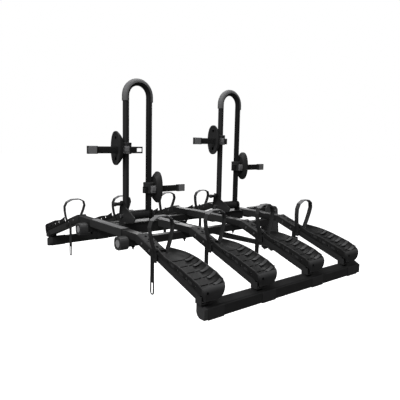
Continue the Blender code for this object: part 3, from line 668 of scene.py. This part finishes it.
def loop_route(top_z, lean):
    """The wheel strap's loop on (Y, Z), from its -Y bend over the top to its +Y bend."""
    stretch = (top_z - LOOP_FOOT_Z) / (LOOP_TOP_Z - LOOP_FOOT_Z)
    route = []
    for y, z in [(-y, z) for y, z in LOOP_HALF] + list(reversed(LOOP_HALF)):
        rise = (z - LOOP_BEND_Z) / (LOOP_TOP_Z - LOOP_BEND_Z)
        route.append((y + lean * rise, LOOP_FOOT_Z + (z - LOOP_FOOT_Z) * stretch))
    return route


def strap_pad(loop_x, top_z, lean):
    """The pale ribbed pad over the top of a wheel strap's loop."""
    bm = bmesh.new()
    route = loop_route(top_z, lean)[4:8]
    fine = []
    for (y0, z0), (y1, z1) in zip(route, route[1:]):
        fine += [(y0 + (y1 - y0) * k / 8, z0 + (z1 - z0) * k / 8) for k in range(8)]
    fine.append(route[-1])
    rings = []
    for i, (y, z) in enumerate(fine):
        y0, z0 = fine[max(i - 1, 0)]
        y1, z1 = fine[min(i + 1, len(fine) - 1)]
        along = Vector((y1 - y0, z1 - z0)).normalized()
        out = Vector((-along.y, along.x))
        high = 0.0030 if i % 2 else 0.0021
        rings.append(
            [
                (loop_x - 0.0135, y + out.x * 0.0004, z + out.y * 0.0004),
                (loop_x - 0.0120, y + out.x * high, z + out.y * high),
                (loop_x + 0.0120, y + out.x * high, z + out.y * high),
                (loop_x + 0.0135, y + out.x * 0.0004, z + out.y * 0.0004),
                (loop_x + 0.0120, y - out.x * 0.0024, z - out.y * 0.0024),
                (loop_x - 0.0120, y - out.x * 0.0024, z - out.y * 0.0024),
            ]
        )
    loft(bm, rings)
    return finished(bm, "strap_pad")


def base_trim(loop_x):
    """Bolts, cross guides and side plates on a strap's anchor block, for a near arm at Y = 0."""
    bm = bmesh.new()
    down = Vector((math.cos(ARM_ANGLE), 0, -math.sin(ARM_ANGLE)))
    up = Vector((math.sin(ARM_ANGLE), 0, math.cos(ARM_ANGLE)))
    bolt = [(0.0, 0.0062), (0.0011, 0.0062), (0.0011, 0.0045), (0.0004, 0.0043)]
    for x in (0.325, 0.352, 0.384, 0.412):
        top = Vector((x, 0, arm_top(x))) + up * 0.0088
        # the anchor bolts take the near-black tone: their dark colour with painted shade
        turned(bm, top, up, bolt, 18, 1)
    for x in (0.340, 0.398):
        side = Vector((x, -0.0295, arm_top(x) - 0.012))
        turned(bm, side, (0, -1, 0), [(0.0, 0.0058), (0.0012, 0.0055), (0.0016, 0.0040)], 18, 2)
    for x in (0.365, loop_x - 0.0145):
        middle = Vector((x, 0, arm_top(x))) + up * 0.0085
        slab(bm, middle, ALONG_Y, -down, 0.0225, 0.0035, 0.0030, 0.0020, 0)
    foot_z = arm_top(loop_x) - 0.030
    inner, outer = (loop_x, 0.0306, foot_z), (loop_x + 0.0015, -0.0306, foot_z)
    slab(bm, inner, (-1, 0, 0), UPRIGHT, 0.0140, 0.0090, 0.0040, 0.0030, 0)
    slab(bm, outer, (1, 0, 0), UPRIGHT, 0.0125, 0.0080, 0.0024, 0.0030, 0)
    return finished(bm, "base_trim")


def build_straps():
    pads = {name: strap_pad(*shape) for name, shape in STRAP_SHAPES.items()}
    bases = {name: base_trim(shape[0]) for name, shape in STRAP_SHAPES.items()}
    for number in TRAYS:
        for label, side in SIDES.items():
            kind = "last" if (number, label) == (4, "near") else label
            place = tray_y(number), side
            pad = placed(pads[kind], *place)
            add_piece(f"strap_pad_{number}_{label}", pad, [PAD], "platform")
            trim = placed(bases[kind], *place)
            finishes = [RUBBER, GROOVE, ZINC]
            add_piece(f"strap_base_trim_{number}_{label}", trim, finishes, "platform")


def cradle_pad(leg, z, way):
    """A frame holder's dish: a pointed oval face with a raised rim on a deep tapering back."""
    outline = []
    for i in range(40):
        turn = 2 * math.pi * i / 40
        wide = math.copysign(abs(math.sin(turn)) ** 0.8, math.sin(turn))
        outline.append((0.044 * wide, 0.083 * math.cos(turn)))
    levels = (
        (0.70, 0.030),
        (0.82, 0.038),
        (0.93, 0.047),
        (0.995, 0.053),
        (1.0, 0.0570),
        (0.985, 0.0602),
        (0.945, 0.0612),
        (0.90, 0.0602),
        (0.86, 0.0580),
        (0.50, 0.0565),
    )
    bm = bmesh.new()
    loft(bm, [[(u * k, leg + way * out, z + v * k) for u, v in outline] for k, out in levels])
    plate = finished(bm, "pad")
    plate.materials.append(CRADLE)
    bm = bmesh.new()
    for rise in (-0.050, 0.050):
        turned(bm, (0, leg + way * 0.050, z + rise), (0, way, 0), rod(0.04, 0.0078), 20)
    holes = finished(bm, "holes")
    holes.materials.append(GROOVE)
    return cut_with(plate, holes)


def clamp_trim(node, leg_y, z, way):
    """A frame holder's clamp: a collar round the leg with rings, a neck, a hinge pin and a screw."""
    bm = bmesh.new()
    shell = (
        (-0.0280, 0.0166),
        (-0.0280, 0.0262),
        (-0.0265, 0.0275),
        (0.0265, 0.0275),
        (0.0280, 0.0262),
        (0.0280, 0.0166),
    )
    collar(bm, leg_y, z, shell, 36)
    neck = (0, leg_y + way * 0.024, z)
    slab(bm, neck, (1, 0, 0), (0, 0, -way), 0.0140, 0.0170, 0.0140, 0.0040)
    band = ((0.0, 0.0275), (0.0, 0.0287), (0.003, 0.0287), (0.003, 0.0275))
    for rise in (-0.024, 0.021):
        collar(bm, leg_y, z + rise, band, 28)
    turned(bm, (-0.0235, leg_y + way * 0.018, z - 0.024), UPRIGHT, rod(0.048, 0.0045), 16)
    dome(bm, (-0.0245, leg_y, z), (-1, 0, 0), 0.0065, 0.0035, 1)
    return finished(bm, node + "_clamp")


def strap_trim(node, leg, z, way):
    """The pale ratchet block in front of the leg, the pale end block and the strap's ladder ribs."""
    bm = bmesh.new()
    front = 0.0228
    lean = leg + way * 0.013
    slab(bm, (front, lean, z), ALONG_Y, UPRIGHT, 0.0170, 0.0185, 0.0085, 0.0045, 0)
    slab(bm, (front + 0.008, lean, z + 0.003), ALONG_Y, UPRIGHT, 0.0120, 0.0110, 0.0035, 0.0035, 0)
    pin = (front + 0.008, lean + way * 0.012, z - 0.0175)
    turned(bm, pin, UPRIGHT, rod(0.035, 0.0032), 14, 1)
    end = leg + way * 0.192
    for place, sign in ((front + 0.0062, 1), (0.0137, -1)):
        slab(bm, (place, end, z), (0, sign, 0), UPRIGHT, 0.0232, 0.0183, 0.0018, 0.0090, 0)
    seam = (front + 0.0062, leg + way * 0.1705, z)
    slab(bm, seam, ALONG_Y, UPRIGHT, 0.0026, 0.0180, 0.0026, 0.0015, 1)
    for i in range(14):
        rib = (front - 0.0005, leg + way * (0.072 + i * 0.0062), z)
        slab(bm, rib, ALONG_Y, UPRIGHT, 0.0016, 0.0120, 0.0013, 0.0010, 1)
    return finished(bm, node + "_trim")


def build_frame_holders():
    for hoop in HOOPS:
        low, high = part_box(f"hoop_{hoop}")
        legs = {"left": (low.y + TUBE_RADIUS, -1), "right": (high.y - TUBE_RADIUS, 1)}
        for side, (leg, way) in legs.items():
            body = f"holder_{hoop}_{side}"
            cradle, strap = f"frame_cradle_{hoop}_{side}", f"frame_strap_{hoop}_{side}"
            z, strap_z = middle_z(cradle), middle_z(strap)
            face = cradle_pad(leg, z, way)
            dish = add_piece(cradle + "_dish", face, [], body, bevel=0.0005)
            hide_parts(cradle)
            clamp = clamp_trim(cradle, leg, z, way)
            add_piece(cradle + "_clamp", clamp, [CRADLE, ZINC], body)
            buckle = strap_trim(strap, leg, strap_z, way)
            add_piece(strap + "_buckle", buckle, [BUCKLE, RUBBER], body)


def build_small_parts():
    """Nuts under the rails, bracket bolts, pale plates of painted reflection on the tray tops and cover
    rivets.
    """
    rail_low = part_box("rail_near")[0].z
    nut = [(0.0, 0.0085), (0.006, 0.0085), (0.008, 0.0050), (0.018, 0.0032)]
    bm = bmesh.new()
    for number in TRAYS:
        for side in (-1, 1):
            place = (side * (RAIL_X + 0.005), tray_y(number) + 0.012, rail_low)
            turned(bm, place, (0, 0, -1), nut, 6)
    # the nuts take the near-black tone: their dark colour with painted shade
    add_piece("rail_nuts", finished(bm, "nuts"), [GROOVE], "platform")
    bm = bmesh.new()
    for y, z in ((-0.190, 0.235), (-0.181, 0.213)):
        for side in (-1, 1):
            dome(bm, (side * 0.0322, y, z), (side, 0, 0), 0.0075, 0.0045, 0, 6)
    add_piece("bracket_bolts", finished(bm, "bolts"), [ZINC], "platform")
    # a thin pale plate on each tray top that paints the overhead light's reflection
    for number in TRAYS:
        bm = bmesh.new()
        centre = (0, tray_y(number), SLEEVE_TOP - 0.0002)
        slab(bm, centre, (1, 0, 0), ALONG_Y, 0.148, 0.0175, 0.0011, 0.004)
        add_piece(f"tray_highlight_strip_{number}", finished(bm, "strip"), [TRAY_HIGHLIGHT], "platform")
    for hoop in HOOPS:
        low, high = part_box(f"hoop_cover_{hoop}")
        bm = bmesh.new()
        for y, out in ((low.y, -1), (high.y, 1)):
            for z in (low.z + 0.010, low.z + 0.028):
                dome(bm, (0.0, y - out * 0.0004, z), (0, out, 0), 0.0032, 0.0010)
        add_piece(f"cover_rivets_{hoop}", finished(bm, "rivets"), [ZINC], f"hoop_{hoop}")


def wire_clip():
    """The stiff wire clip that hangs under the bracket."""
    curve = bpy.data.curves.new("wire_clip", "CURVE")
    curve.dimensions = "3D"
    curve.bevel_depth = 0.0016
    curve.bevel_resolution = 4
    spline = curve.splines.new("BEZIER")
    route = [
        (0.0, -0.172, 0.006),
        (0.0, -0.200, -0.026),
        (0.0, -0.250, -0.028),
        (0.0, -0.300, 0.004),
        (0.0, -0.262, 0.048),
    ]
    spline.bezier_points.add(len(route) - 1)
    for point, place in zip(spline.bezier_points, route):
        point.co = place
        point.handle_left_type = point.handle_right_type = "AUTO"
    clip = bpy.data.objects.new("wire_clip", curve)
    bpy.context.scene.collection.objects.link(clip)
    curve.materials.append(ZINC)
    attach(clip, "platform")


def soften_nodes():
    """Rounded edges on the carried-over nodes that PLAIN_NODES doesn't name."""
    for name, node in frame["nodes"].items():
        if name.startswith(PLAIN_NODES):
            continue
        moulded = name.startswith(("end_cap", "rail_bumper"))
        soften(node, MOULDED_EDGE if moulded else NODE_EDGE)


make_camera()
make_floor()
make_lights()
paint_nodes()
paint_node("drop_bracket", CAST)
soften_nodes()
build_holders()
build_straps()
build_frame_holders()
build_small_parts()
wire_clip()
